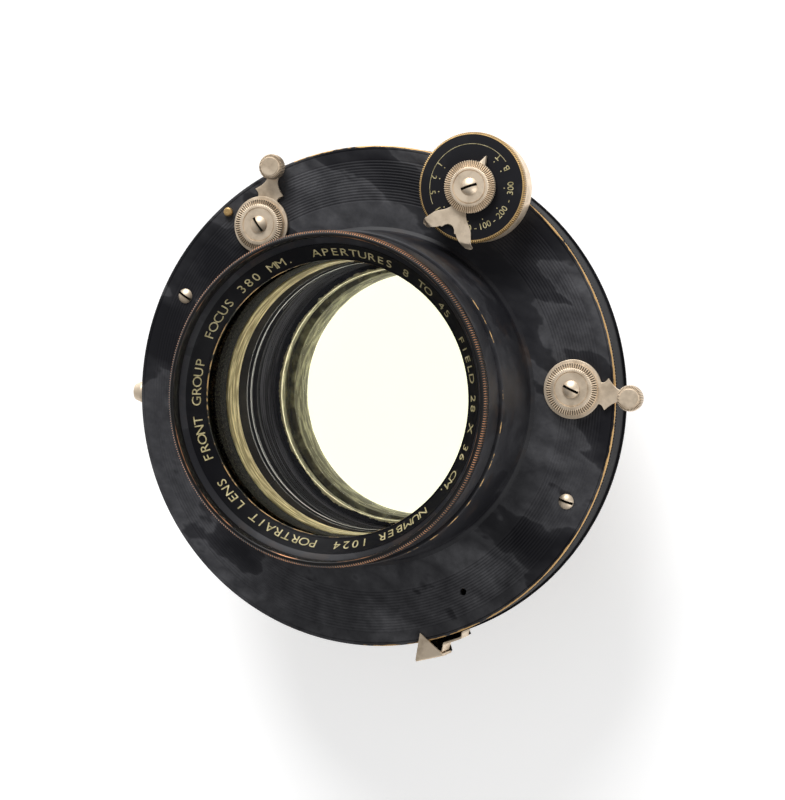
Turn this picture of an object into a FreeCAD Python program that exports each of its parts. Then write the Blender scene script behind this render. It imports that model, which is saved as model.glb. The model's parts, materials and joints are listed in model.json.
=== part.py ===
import FreeCAD, Part
import math
import os
from FreeCAD import Vector

# Large-format portrait lens in a black-lacquered leaf shutter with nickel controls.
# Millimetres. +Z is the optical axis towards the subject, and z = 0 is the rear face of
# the shutter case, which seats on the lens board. Bearings are degrees clockwise from +Y,
# seen from the front.

# ---- driving dimensions -------------------------------------------------------------
CASE_R = 57.0            # shutter case, outside
CASE_WALL = 1.8
CASE_BACK = 1.6          # thickness of the back plate
LIP_R = 57.45            # thin lip round the rear edge of the case
LIP_H = 0.8
COVER_R = 57.15
COVER_BOTTOM, COVER_TOP = 8.8, 10.4
GROOVE_COUNT = 14
GROOVE_PITCH = 0.65
GROOVE_DEPTH = 0.15
GROOVE_FIRST_R = 44.9
NECK_TOP = 30.7
NECK_R_FOOT, NECK_R_TOP, NECK_BORE = 37.6, 37.0, 33.6
RIM_TOP = 42.1           # front end of the front cell
RIM_R = 36.4
GLASS_SEAT_R = 31.6
OPENING_R = 30.3         # clear opening at the front glass
SPACER_R, SPACER_LOW = 30.4, 18.3
LOCK_R, LOCK_SEAT, LOCK_LOW = 30.2, 16.0, 11.5
FRONT_GLASS_LOW, FRONT_GLASS_HIGH = 25.0, 32.9
GLASS_FIT = 0.1          # radial room of a glass in its seat
SHUTTER_R = 30.0         # clear opening through the shutter plates
SLEEVE_R = 40.0          # rear mounting thread
SPIGOT_R = 41.0          # flange of the sleeve in the back plate
SLEEVE_BOTTOM = -12.0
REAR_BOTTOM = -30.0      # rear rim, on which the lens stands
REAR_BARREL_R = 35.0
REAR_BORE, REAR_LOCK_R, REAR_OPENING_R = 30.6, 29.0, 28.6
REAR_FLANGE_R, REAR_FLANGE_LOW = 38.4, -17.0
REAR_LOCK_LOW, REAR_SEAT = -14.5, -22.0
REAR_GLASS_LOW, REAR_GLASS_HIGH = -21.6, -14.6

DIAL_RADIUS, DIAL_BEARING = 53.44, 1.45        # place of the speed dial
DIAL_R, DRUM_R, DRUM_TOP = 12.3, 11.9, 15.9
DIAL_TOP = 18.2
COCK_RADIUS, COCK_BEARING, COCK_ARM = 47.6, -61.7, -12.4
RELEASE_RADIUS, RELEASE_BEARING, RELEASE_ARM = 47.6, 59.8, 70.1
LEVER_FLANGE_R, LEVER_CAP_R, KNOB_R, KNOB_REACH = 6.6, 5.8, 2.9, 13.6
POST_R = 1.5
LEVER_POST_TOP = 12.9
RUNNING = 0.05           # radial clearance of a turning fit
INDEX_LOW, INDEX_HIGH = DIAL_TOP + 0.15, DIAL_TOP + 0.65
HUB_R, HUB_TOP = 5.85, DIAL_TOP + 1.75
SCREW_RADIUS, SCREW_BEARINGS = 51.4, (-91.0, 88.8)
SCREW_HEAD_R, SCREW_THREAD_R, SCREW_HEAD_H = 1.95, 0.8, 0.9     # screws of dial and levers
SCREW_REACH = 2.0        # depth of their threads in the posts
SCREW_SLOT = 0.5
COVER_SCREW_R, PILLAR_R, PILLAR_BORE = 1.75, 1.8, 1.0
PIN_RADIUS, PIN_BEARING = 55.0, -67.0
PIN_R, PIN_HEAD_R, PIN_HEAD_H = 0.7, 1.05, 1.2
SIGHT_RADIUS, SIGHT_BEARING, SIGHT_R = 49.2, 125.5, 0.8    # small open hole in the cover
POINTER_BEARING = 138.5
POINTER_TRAVEL = 44.0
POINTER_R = 61.4
SKIRT_R, SKIRT_SPAN, SKIRT_TOP = 58.95, 8.6, 9.8  # dust skirt beside the pointer
POINTER_SHEET = 0.6
POINTER_SLOT_LOW, POINTER_SLOT_HIGH, POINTER_SLOT_ROOM = 3.4, 4.4, 6.5
ARROW_TIP_R, ARROW_HALF, ARROW_LEAN = 55.0, 3.4, 0.8
SOCKET_BEARING, SOCKET_Z = -117.3, 6.0
SOCKET_TIP_R = 60.4
SOCKET_R, SOCKET_TIP_END_R, SOCKET_BORE = 2.7, 1.9, 1.5
SPIGOT_HOLE_R, SOCKET_INNER = 2.6, 55.3      # the socket's foot in the case wall
PLUNGER_R, PLUNGER_HEAD_R = 0.8, 1.2
PLUNGER_INNER, PLUNGER_NECK, PLUNGER_OUTER = 53.6, 58.4, 59.0

IRIS_BLADES, IRIS_PITCH, IRIS_THICK, IRIS_Z = 8, 0.22, 0.12, 1.75
SHUTTER_BLADES, SHUTTER_PITCH, SHUTTER_THICK, SHUTTER_Z = 5, 0.30, 0.15, 5.0
BLADE_IN = 30.3
IRIS_OUT, IRIS_PIVOT_R, IRIS_SPAN = 47.0, 51.5, 78.0
SHUTTER_OUT, SHUTTER_PIVOT_R, SHUTTER_SPAN = 49.5, 52.2, 120.0
PIVOT_STEP = 1.1         # degrees between a blade's edge and its pivot
BLADE_PIN_R, BLADE_EYE_R = 0.8, 1.7
IRIS_PIN_TOP, SHUTTER_PIN_TOP = 3.55, 6.5
IRIS_RING_R = CASE_R - CASE_WALL - 0.2
IRIS_RING_BORE, IRIS_RING_LOW, IRIS_RING_HIGH = 44.0, 3.65, 4.15
PLATE_LOW, PLATE_HIGH = 4.35, 4.85
BLADE_RING_R, BLADE_RING_BORE = 48.6, 40.0
BLADE_RING_LOW, BLADE_RING_HIGH = 6.65, 7.15
LEVER_POST_LOW = 7.5


def spot(radius, bearing, z=0.0):
    """Point at a radius and a bearing from the optical axis."""
    b = math.radians(bearing)
    return Vector(radius * math.sin(b), radius * math.cos(b), z)


def turned(profile):
    """Solid turned about the optical axis from (radius, z) corners."""
    wire = Part.makePolygon([Vector(r, 0, z) for r, z in profile + profile[:1]])
    return Part.Face(wire).revolve(Vector(0, 0, 0), Vector(0, 0, 1), 360)


def tube(outer, inner, low, high, centre=Vector(0, 0, 0)):
    at = Vector(centre.x, centre.y, low)
    body = Part.makeCylinder(outer, high - low, at)
    if inner > 0:
        body = body.cut(Part.makeCylinder(inner, high - low, at))
    return body


def rod(radius, low, high, centre):
    return tube(radius, 0, low, high, centre)


def sector(outer, inner, low, high, first, last):
    """Part of a ring between two bearings."""
    start = math.radians(90 - last)
    ring = Part.makeCylinder(outer, high - low, Vector(0, 0, low), Vector(0, 0, 1), last - first)
    ring = ring.cut(Part.makeCylinder(inner, high - low, Vector(0, 0, low)))
    return ring.rotate(Vector(0, 0, 0), Vector(0, 0, 1), math.degrees(start))


def sheet(corners, low, high):
    """Flat plate with straight sides, from (x, y) corners."""
    wire = Part.makePolygon([Vector(x, y, low) for x, y in corners + corners[:1]])
    return Part.Face(wire).extrude(Vector(0, 0, high - low))


def placed(shape, centre, bearing):
    """Moves a piece that was drawn pointing along +Y to its own place and bearing."""
    shape.rotate(Vector(0, 0, 0), Vector(0, 0, 1), -bearing)
    shape.translate(Vector(centre.x, centre.y, 0))
    return shape


def group(solids):
    return Part.makeCompound(solids)


def save(node, shape):
    shape.exportStep("parts/" + node + ".step")
    print("%-22s solids %2d  volume %10.2f  valid %s"
          % (node, len(shape.Solids), shape.Volume, shape.isValid()))


# ---- shutter case and cover ---------------------------------------------------------
def shutter_case():
    body = turned([(SPIGOT_R, 0), (LIP_R, 0), (LIP_R, LIP_H), (CASE_R, LIP_H),
                   (CASE_R, COVER_BOTTOM), (CASE_R - CASE_WALL, COVER_BOTTOM),
                   (CASE_R - CASE_WALL, CASE_BACK), (SPIGOT_R, CASE_BACK)])
    slot = sector(CASE_R + 1, CASE_R - CASE_WALL - 1, POINTER_SLOT_LOW, POINTER_SLOT_HIGH,
                  POINTER_BEARING - POINTER_SLOT_ROOM,
                  POINTER_BEARING + POINTER_TRAVEL + POINTER_SLOT_ROOM)
    return body.cut(slot).cut(radial_rod(SPIGOT_HOLE_R, CASE_R - 4, CASE_R + 4))


def front_cover():
    top = [(COVER_R, COVER_BOTTOM), (COVER_R, COVER_TOP - 0.25), (COVER_R - 0.25, COVER_TOP)]
    for i in reversed(range(GROOVE_COUNT)):
        r = GROOVE_FIRST_R + i * GROOVE_PITCH
        half = 0.22
        top += [(r + half, COVER_TOP), (r, COVER_TOP - GROOVE_DEPTH), (r - half, COVER_TOP)]
    plate = turned([(NECK_BORE, COVER_BOTTOM)] + top + [(NECK_BORE, COVER_TOP)])
    holes = [rod(PILLAR_BORE, COVER_BOTTOM, COVER_TOP, spot(SCREW_RADIUS, b)) for b in SCREW_BEARINGS]
    holes += [rod(POST_R, COVER_BOTTOM, COVER_TOP, p) for p in post_places()]
    holes.append(rod(SIGHT_R, COVER_BOTTOM, COVER_TOP, spot(SIGHT_RADIUS, SIGHT_BEARING)))
    holes.append(rod(PIN_R, COVER_BOTTOM, COVER_TOP, spot(PIN_RADIUS, PIN_BEARING)))
    for hole in holes:
        plate = plate.cut(hole)
    return plate


def post_places():
    return [spot(DIAL_RADIUS, DIAL_BEARING), spot(COCK_RADIUS, COCK_BEARING),
            spot(RELEASE_RADIUS, RELEASE_BEARING)]


def neck():
    foot = 1.2
    return turned([(NECK_BORE, COVER_TOP), (NECK_R_FOOT + foot, COVER_TOP),
                   (NECK_R_FOOT + 0.3, COVER_TOP + 0.35), (NECK_R_FOOT, COVER_TOP + foot),
                   (NECK_R_TOP, NECK_TOP - 0.3), (NECK_R_TOP - 0.3, NECK_TOP),
                   (NECK_BORE, NECK_TOP)])


def slotted_screw(head_r, shank_r, seat, bottom, height, centre, bearing):
    """Domed screw head with a sawn slot, on a plain shank down to bottom."""
    dome_r = (head_r ** 2 + height ** 2) / (2 * height)
    ball = Part.makeSphere(dome_r, Vector(0, 0, seat + height - dome_r))
    head = ball.common(rod(head_r, seat, seat + height, Vector(0, 0, 0)))
    head = head.cut(Part.makeBox(2 * head_r, SCREW_SLOT, height,
                                 Vector(-head_r, -SCREW_SLOT / 2, seat + height * 0.45)))
    screw = head.fuse(rod(shank_r, bottom, seat, Vector(0, 0, 0))).removeSplitter()
    return placed(screw, centre, bearing)


def cover_screws():
    slots = (20.0, 65.0)
    thread_end = 5.4
    return group([slotted_screw(COVER_SCREW_R, PILLAR_BORE, COVER_TOP, thread_end, SCREW_HEAD_H,
                                spot(SCREW_RADIUS, b), s)
                  for b, s in zip(SCREW_BEARINGS, slots)])


def cover_pillars():
    return group([tube(PILLAR_R, PILLAR_BORE, PLATE_HIGH, COVER_BOTTOM, spot(SCREW_RADIUS, b))
                  for b in SCREW_BEARINGS])


def stop_pin():
    at = spot(PIN_RADIUS, PIN_BEARING)
    head = rod(PIN_HEAD_R, COVER_TOP, COVER_TOP + PIN_HEAD_H, at)
    return rod(PIN_R, COVER_BOTTOM, COVER_TOP, at).fuse(head)


# ---- optics -------------------------------------------------------------------------
def front_cell():
    return turned([(GLASS_SEAT_R, LOCK_SEAT), (NECK_BORE, LOCK_SEAT), (NECK_BORE, NECK_TOP),
                   (RIM_R, NECK_TOP), (RIM_R, RIM_TOP - 0.4), (RIM_R - 0.4, RIM_TOP),
                   (35.15, RIM_TOP), (33.7, 38.4), (33.7, 33.0), (GLASS_SEAT_R, 33.0)])


def name_ring():
    return turned([(OPENING_R, 33.9), (GLASS_SEAT_R, 33.0), (33.7, 33.0), (33.7, 38.4),
                   (OPENING_R, 34.5)])


def lens_glass(radius, low, high, front_sag, rear_sag):
    """Bi-convex or meniscus glass between two spherical faces of the given sagittas."""
    def cap(z, sag):
        ball_r = (radius ** 2 + sag ** 2) / (2 * abs(sag))
        centre = z + sag - math.copysign(ball_r, sag)
        return Part.makeSphere(ball_r, Vector(0, 0, centre))
    body = rod(radius, low, high + max(front_sag, 0), Vector(0, 0, 0))
    body = body.common(cap(high, front_sag))
    return body.cut(cap(low, rear_sag)) if rear_sag > 0 else body


def front_glass():
    return lens_glass(GLASS_SEAT_R - GLASS_FIT, FRONT_GLASS_LOW, FRONT_GLASS_HIGH, 3.2, 2.9)


def front_spacer():
    return tube(GLASS_SEAT_R, SPACER_R, SPACER_LOW, FRONT_GLASS_LOW)


def front_lock_ring():
    return turned([(LOCK_R, LOCK_LOW), (NECK_BORE, LOCK_LOW), (NECK_BORE, LOCK_SEAT),
                   (GLASS_SEAT_R, LOCK_SEAT), (GLASS_SEAT_R, SPACER_LOW), (LOCK_R, SPACER_LOW)])


def mount_sleeve():
    return turned([(REAR_BARREL_R, SLEEVE_BOTTOM), (SLEEVE_R, SLEEVE_BOTTOM), (SLEEVE_R, 0),
                   (SPIGOT_R, 0), (SPIGOT_R, CASE_BACK), (REAR_BARREL_R, CASE_BACK)])


def rear_cell():
    return turned([(REAR_OPENING_R, REAR_BOTTOM), (REAR_BARREL_R - 1.2, REAR_BOTTOM),
                   (REAR_BARREL_R - 0.6, REAR_BOTTOM + 0.6), (REAR_BARREL_R - 0.6, REAR_FLANGE_LOW),
                   (REAR_FLANGE_R, REAR_FLANGE_LOW), (REAR_FLANGE_R, SLEEVE_BOTTOM),
                   (REAR_BARREL_R, SLEEVE_BOTTOM), (REAR_BARREL_R, -1.0), (REAR_BORE, -1.0),
                   (REAR_BORE, REAR_SEAT), (REAR_OPENING_R + 0.6, REAR_SEAT),
                   (REAR_OPENING_R, -26.0)])


def rear_glass():
    glass = lens_glass(REAR_BORE - GLASS_FIT, -REAR_GLASS_HIGH, -REAR_GLASS_LOW, 2.4, 2.1)
    return glass.rotate(Vector(0, 0, 0), Vector(1, 0, 0), 180)


def rear_lock_ring():
    return tube(REAR_BORE, REAR_LOCK_R, REAR_LOCK_LOW, SLEEVE_BOTTOM)


# ---- iris and shutter ---------------------------------------------------------------
def blade_places(count, first):
    return [first + i * 360.0 / count for i in range(count)]


def blade(bearing, span, outer, pivot_r, low, thick):
    """Crescent blade with an ear and a pivot hole; it lies anticlockwise of its pivot."""
    crescent = sector(outer, BLADE_IN, low, low + thick, bearing - span, bearing)
    ear = sector(pivot_r, outer - 8, low, low + thick, bearing - 2 * PIVOT_STEP, bearing)
    pivot = spot(pivot_r, bearing - PIVOT_STEP)
    body = crescent.fuse(ear).fuse(rod(BLADE_EYE_R, low, low + thick, pivot))
    return body.cut(rod(BLADE_PIN_R + RUNNING, low, low + thick, pivot)).removeSplitter()


def pivot_pins(bearings, pivot_r, low, high):
    return group([rod(BLADE_PIN_R, low, high, spot(pivot_r, b - PIVOT_STEP)) for b in bearings])


def iris_ring():
    return tube(IRIS_RING_R, IRIS_RING_BORE, IRIS_RING_LOW, IRIS_RING_HIGH)


def aperture_pointer():
    """Tongue through the case slot, folded up the side and over the cover as an arrow."""
    half, skirt_end = 3.3, POINTER_BEARING - 2.5
    low, high = COVER_TOP + 0.3, COVER_TOP + 0.3 + POINTER_SHEET
    first, last = POINTER_BEARING - half, POINTER_BEARING + half
    tongue = sector(POINTER_R, IRIS_RING_R, IRIS_RING_LOW, IRIS_RING_HIGH, first, last)
    upright = sector(POINTER_R, POINTER_R - POINTER_SHEET, IRIS_RING_LOW, high, first, last)
    skirt_start = POINTER_BEARING - SKIRT_SPAN
    skirt = sector(SKIRT_R, SKIRT_R - POINTER_SHEET, IRIS_RING_LOW, SKIRT_TOP, skirt_start, skirt_end)
    shelf = sector(SKIRT_R, LIP_R + 0.2, IRIS_RING_LOW, IRIS_RING_HIGH, skirt_start, skirt_end)
    foot = sector(SKIRT_R, IRIS_RING_R, IRIS_RING_LOW, IRIS_RING_HIGH, POINTER_BEARING - 5.0, skirt_end)
    base = POINTER_R - 0.35
    arrow = sheet([(ARROW_LEAN, ARROW_TIP_R), (ARROW_HALF, base), (-ARROW_HALF, base)], low, high)
    arrow = placed(arrow, Vector(0, 0, 0), POINTER_BEARING)
    return tongue.fuse([upright, skirt, shelf, foot, arrow]).removeSplitter()


def shutter_plate():
    """Fixed plate between the iris and the shutter blades."""
    return tube(CASE_R - CASE_WALL, SHUTTER_R, PLATE_LOW, PLATE_HIGH)


def blade_ring():
    return tube(BLADE_RING_R, BLADE_RING_BORE, BLADE_RING_LOW, BLADE_RING_HIGH)


# ---- controls -----------------------------------------------------------------------
def posts():
    lever_span = (LEVER_POST_LOW, LEVER_POST_TOP)
    spans = ((COVER_BOTTOM, HUB_TOP), lever_span, lever_span)
    return [rod(POST_R, low, top, p).cut(rod(SCREW_THREAD_R, top - SCREW_REACH, top, p))
            for (low, top), p in zip(spans, post_places())]


def dial_drum():
    return tube(DRUM_R, POST_R, COVER_TOP, DRUM_TOP, spot(DIAL_RADIUS, DIAL_BEARING))


def speed_dial():
    at = spot(DIAL_RADIUS, DIAL_BEARING)
    disc = turned([(POST_R + RUNNING, DRUM_TOP + 0.1), (DIAL_R, DRUM_TOP + 0.1),
                   (DIAL_R, DIAL_TOP - 0.5), (DIAL_R - 0.5, DIAL_TOP),
                   (POST_R + RUNNING, DIAL_TOP)])
    return placed(disc, at, 0)


def index_plate():
    """Fixed fishtail index: a round eye, two tails towards the neck and a small point."""
    low, high = INDEX_LOW, INDEX_HIGH
    eye = tube(5.2, POST_R, low, high)
    tails = sheet([(-2.2, -4.2), (2.2, -4.2), (3.2, -7.4), (6.6, -11.6), (4.4, -12.9),
                   (1.4, -9.0), (-1.4, -9.0), (-4.4, -12.9), (-6.6, -11.6), (-3.2, -7.4)], low, high)
    point = sheet([(-1.0, 4.6), (1.0, 4.6), (0, 7.8)], low, high)
    plate = eye.fuse([tails, point]).removeSplitter()
    return placed(plate, spot(DIAL_RADIUS, DIAL_BEARING), DIAL_BEARING)


def index_hub():
    return tube(HUB_R, POST_R, INDEX_HIGH, HUB_TOP, spot(DIAL_RADIUS, DIAL_BEARING))


def dial_screw():
    return slotted_screw(SCREW_HEAD_R, SCREW_THREAD_R, HUB_TOP, HUB_TOP - SCREW_REACH, SCREW_HEAD_H,
                         spot(DIAL_RADIUS, DIAL_BEARING), 45)


def lever(radius, bearing, arm):
    """Round flange with a flat arm that has two cusps, a waist and an eye for its knob."""
    low, high = COVER_TOP + 0.2, COVER_TOP + 0.9
    right = [(1.3, KNOB_REACH), (1.3, 10.8), (1.6, 9.6), (2.4, 8.6), (3.5, 7.7), (2.5, 6.7),
             (2.4, 5.0)]
    outline = [(-x, y) for x, y in reversed(right)] + right
    flat = tube(LEVER_FLANGE_R, POST_R + RUNNING, low, high)
    arm_sheet = sheet(outline, low, high)
    eye = rod(1.9, low, high, Vector(0, KNOB_REACH, 0))
    return placed(flat.fuse([arm_sheet, eye]).removeSplitter(), spot(radius, bearing), arm)


def lever_cap(radius, bearing):
    """Knurled disc with a recess that holds the lever to its post."""
    low, top = COVER_TOP + 0.9, COVER_TOP + 2.3
    cap = turned([(POST_R + RUNNING, low), (LEVER_CAP_R, low), (LEVER_CAP_R, top - 0.2),
                  (LEVER_CAP_R - 0.2, top), (3.75, top), (3.6, top - 0.3),
                  (POST_R + RUNNING, top - 0.3)])
    return placed(cap, spot(radius, bearing), 0)


def lever_knob(radius, bearing, arm):
    low = COVER_TOP + 0.9
    knob = turned([(0, low), (KNOB_R - 0.3, low), (KNOB_R, low + 0.4), (KNOB_R, low + 3.0),
                   (KNOB_R - 0.5, low + 3.6), (0, low + 3.6)])
    knob.translate(Vector(0, KNOB_REACH, 0))
    return placed(knob, spot(radius, bearing), arm)


def lever_screw(radius, bearing, slot):
    return slotted_screw(SCREW_HEAD_R, SCREW_THREAD_R, LEVER_POST_TOP, LEVER_POST_TOP - SCREW_REACH,
                         SCREW_HEAD_H + 0.05, spot(radius, bearing), slot)


def radial_rod(radius, inner, outer):
    """Rod along the radius at the bearing of the cable-release socket."""
    way = spot(1, SOCKET_BEARING)
    return Part.makeCylinder(radius, outer - inner, spot(inner, SOCKET_BEARING, SOCKET_Z), way)


def cable_socket():
    way = spot(1, SOCKET_BEARING)
    seat = CASE_R + 0.05
    shoulder = seat + 1.4
    bore_end = SOCKET_INNER + 0.6
    nose = Part.makeCone(SOCKET_R, SOCKET_TIP_END_R, SOCKET_TIP_R - shoulder,
                         spot(shoulder, SOCKET_BEARING, SOCKET_Z), way)
    body = nose.fuse([radial_rod(SOCKET_R, seat, shoulder), radial_rod(SPIGOT_HOLE_R, SOCKET_INNER, seat)])
    body = body.removeSplitter().cut(radial_rod(SOCKET_BORE, bore_end, SOCKET_TIP_R))
    return body.cut(radial_rod(PLUNGER_R + RUNNING, SOCKET_INNER, bore_end))


def cable_plunger():
    stem = radial_rod(PLUNGER_R, PLUNGER_INNER, PLUNGER_NECK)
    return stem.fuse(radial_rod(PLUNGER_HEAD_R, PLUNGER_NECK, PLUNGER_OUTER)).removeSplitter()


def build():
    os.makedirs("parts", exist_ok=True)
    iris_bearings = blade_places(IRIS_BLADES, 0.0)
    shutter_bearings = blade_places(SHUTTER_BLADES, 35.0)
    dial_post, cocking_post, release_post = posts()
    nodes = {
        "shutter_case": shutter_case(), "front_cover": front_cover(), "neck": neck(),
        "cover_screws": cover_screws(), "cover_pillars": cover_pillars(), "stop_pin": stop_pin(),
        "front_cell": front_cell(), "name_ring": name_ring(), "front_glass": front_glass(),
        "front_spacer": front_spacer(), "front_lock_ring": front_lock_ring(),
        "mount_sleeve": mount_sleeve(), "rear_cell": rear_cell(), "rear_glass": rear_glass(),
        "rear_lock_ring": rear_lock_ring(), "shutter_plate": shutter_plate(),
        "iris_pivots": pivot_pins(iris_bearings, IRIS_PIVOT_R, CASE_BACK, IRIS_PIN_TOP),
        "shutter_pivots": pivot_pins(shutter_bearings, SHUTTER_PIVOT_R, PLATE_HIGH, SHUTTER_PIN_TOP),
        "iris_ring": iris_ring(), "aperture_pointer": aperture_pointer(),
        "blade_ring": blade_ring(), "dial_post": dial_post, "cocking_post": cocking_post,
        "release_post": release_post, "dial_drum": dial_drum(), "speed_dial": speed_dial(),
        "index_plate": index_plate(), "index_hub": index_hub(), "dial_screw": dial_screw(),
        "cable_socket": cable_socket(), "cable_plunger": cable_plunger(),
    }
    for name, radius, bearing, arm, slot in (
            ("cocking", COCK_RADIUS, COCK_BEARING, COCK_ARM, 25.0),
            ("release", RELEASE_RADIUS, RELEASE_BEARING, RELEASE_ARM, -10.0)):
        nodes[name + "_lever"] = lever(radius, bearing, arm)
        nodes[name + "_cap"] = lever_cap(radius, bearing)
        nodes[name + "_knob"] = lever_knob(radius, bearing, arm)
        nodes[name + "_screw"] = lever_screw(radius, bearing, slot)
    for i, bearing in enumerate(iris_bearings):
        low = IRIS_Z + i * IRIS_PITCH
        nodes["iris_blade_%d" % (i + 1)] = blade(bearing, IRIS_SPAN, IRIS_OUT, IRIS_PIVOT_R, low,
                                                 IRIS_THICK)
    for i, bearing in enumerate(shutter_bearings):
        low = SHUTTER_Z + i * SHUTTER_PITCH
        nodes["shutter_blade_%d" % (i + 1)] = blade(bearing, SHUTTER_SPAN, SHUTTER_OUT,
                                                    SHUTTER_PIVOT_R, low, SHUTTER_THICK)
    for node, shape in nodes.items():
        save(node, shape)
    print(len(nodes), "nodes")


build()
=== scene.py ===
"""Portrait lens in a leaf shutter: the finished pieces, their materials and a plain stage.

Every piece is a surface worked out with numpy from sizes in millimetres, in the frame of the
packed model: +Z is the optical axis, and bearings are degrees clockwise from +Y.
"""
import json
import math

import bmesh
import bpy
import numpy as np
from mathutils import Matrix, Vector


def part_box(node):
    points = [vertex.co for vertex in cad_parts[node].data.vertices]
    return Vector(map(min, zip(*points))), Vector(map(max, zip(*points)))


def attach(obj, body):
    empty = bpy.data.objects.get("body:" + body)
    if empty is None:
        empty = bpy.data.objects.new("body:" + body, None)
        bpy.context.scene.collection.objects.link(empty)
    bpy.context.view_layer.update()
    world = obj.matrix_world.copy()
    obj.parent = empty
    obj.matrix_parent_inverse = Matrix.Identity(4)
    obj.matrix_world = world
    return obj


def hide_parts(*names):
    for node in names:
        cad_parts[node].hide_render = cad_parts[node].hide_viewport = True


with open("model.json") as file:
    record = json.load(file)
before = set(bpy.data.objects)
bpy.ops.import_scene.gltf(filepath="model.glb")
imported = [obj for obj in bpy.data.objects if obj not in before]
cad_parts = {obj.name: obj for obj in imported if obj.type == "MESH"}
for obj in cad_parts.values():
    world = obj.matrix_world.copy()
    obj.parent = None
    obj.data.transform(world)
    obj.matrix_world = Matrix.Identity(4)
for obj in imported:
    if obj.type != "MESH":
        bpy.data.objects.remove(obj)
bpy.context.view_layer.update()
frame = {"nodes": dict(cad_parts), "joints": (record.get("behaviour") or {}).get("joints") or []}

bl_info = {
    "name": "Portrait Lens in Leaf Shutter",
    "version": (1, 0, 0),
    "blender": (4, 5, 0),
    "location": "3D View > Sidebar > Portrait Lens",
    "description": "Builds the finished pieces of a large-format lens and shutter",
    "category": "Object",
}

MM = 0.001


def low(node):
    """Lowest corner of a CAD node, in millimetres."""
    return np.array(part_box(node)[0]) / MM


def high(node):
    """Highest corner of a CAD node, in millimetres."""
    return np.array(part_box(node)[1]) / MM


def middle(node):
    """Middle of a CAD node's box, in millimetres."""
    return (low(node) + high(node)) / 2


def bearing_of(node):
    """Bearing of a CAD node's middle: arctangent of x over y, in degrees."""
    x, y, _ = middle(node)
    return math.degrees(math.atan2(x, y))


PLATE_TOP = high("front_cover")[2]
PLATE_LOW = low("front_cover")[2]
PLATE_R = high("front_cover")[0]
NECK_TOP = high("neck")[2]
RIM_TOP = high("front_cell")[2]
REST_Z = low("rear_cell")[2]
DIAL_TOP = high("speed_dial")[2]


def hinge_place(name):
    """Place of a hinge, in millimetres, from the packed record."""
    return next(np.array(j["pos_m"]) / MM for j in frame["joints"] if j["name"] == name)


# ---- settings a user would change ---------------------------------------------------
def linear(hex_colour):
    """Linear colour, with alpha, from an sRGB hex value."""
    c = np.array([int(hex_colour[i:i + 2], 16) / 255 for i in (0, 2, 4)])
    c = np.where(c <= 0.04045, c / 12.92, ((c + 0.055) / 1.055) ** 2.4)
    return (*c.tolist(), 1.0)


def hex_colour_property(name, text, default):
    """Colour setting, from an sRGB hex value."""
    return bpy.props.FloatVectorProperty(name=name, description=text, default=linear(default),
                                         subtype="COLOR", size=4, min=0, max=1)


def length_property(name, text, default, least, most):
    """Length setting in metres, from millimetres."""
    return bpy.props.FloatProperty(name=name, description=text, default=default * MM,
                                   min=least * MM, max=most * MM, unit="LENGTH", precision=6)


def count_property(name, text, default, least, most):
    """Whole-number setting."""
    return bpy.props.IntProperty(name=name, description=text, default=default, min=least, max=most)


class LensSizes(bpy.types.PropertyGroup):
    """Sizes of the fine work on the lens."""
    groove_pitch: length_property("Groove pitch", "Spacing of the turned grooves on the cover",
                                  0.65, 0.3, 1.5)
    groove_depth: length_property("Groove depth", "Depth of the turned grooves", 0.085, 0.0, 0.3)
    letter_height: length_property("Letter height", "Height of the letters on the name ring",
                                   2.35, 1.0, 4.0)
    rim_teeth: count_property("Rim teeth", "Beads of the knurled front rim", 430, 100, 800)
    edge_teeth: count_property("Edge teeth", "Milled teeth on the cover's edge", 525, 100, 800)
    dial_teeth: count_property("Dial teeth", "Flutes on the edge of the speed dial", 168, 40, 300)
    cap_teeth: count_property("Cap teeth", "Flutes of the lever caps", 64, 20, 120)


class LensColours(bpy.types.PropertyGroup):
    """Colours of the finishes."""
    lacquer: hex_colour_property("Lacquer", "Black stove lacquer", "17171b")
    haze: hex_colour_property("Haze", "Grey bloom on the old lacquer", "5c5c5f")
    nickel: hex_colour_property("Nickel", "Satin nickel plate, warmed by tarnish", "ecdac2")
    brass: hex_colour_property("Brass", "Brass where the lacquer is worn away", "d2b078")
    paint: hex_colour_property("Paint", "Aged paint in the engraved letters", "cbbf93")


def sizes():
    """The scene's sizes."""
    return bpy.context.scene.lens_sizes


def colour(name):
    """Linear colour of a setting."""
    return tuple(getattr(bpy.context.scene.lens_colours, name))


# ---- shapes -------------------------------------------------------------------------
def rounded(corners, radius=0.15, steps=4):
    """Profile with rounded corners: each corner becomes a quadratic curve between the points
    that lie the radius away from it along its two edges. Extra columns are carried along."""
    p = np.asarray(corners, float)
    before, after = np.roll(p, 1, 0), np.roll(p, -1, 0)

    def toward(other):
        run = np.linalg.norm((other - p)[:, :2], axis=1, keepdims=True)
        return p + (other - p) * np.minimum(radius / np.maximum(run, 1e-9), 0.45)
    a, b = toward(before), toward(after)
    t = np.linspace(0, 1, steps)[None, :, None]
    curve = (1 - t) ** 2 * a[:, None] + 2 * t * (1 - t) * p[:, None] + t ** 2 * b[:, None]
    return curve.reshape(-1, p.shape[1])


def grid_faces(rows, columns, wrap_rows=True, wrap_columns=True):
    """Quads of a rows by columns grid of points, as indices."""
    i = np.arange(rows if wrap_rows else rows - 1)[:, None]
    j = np.arange(columns if wrap_columns else columns - 1)[None, :]
    i2, j2 = (i + 1) % rows, (j + 1) % columns
    quads = [i * columns + j, i * columns + j2, i2 * columns + j2, i2 * columns + j]
    return np.stack(np.broadcast_arrays(*quads), -1).reshape(-1, 4)


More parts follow.
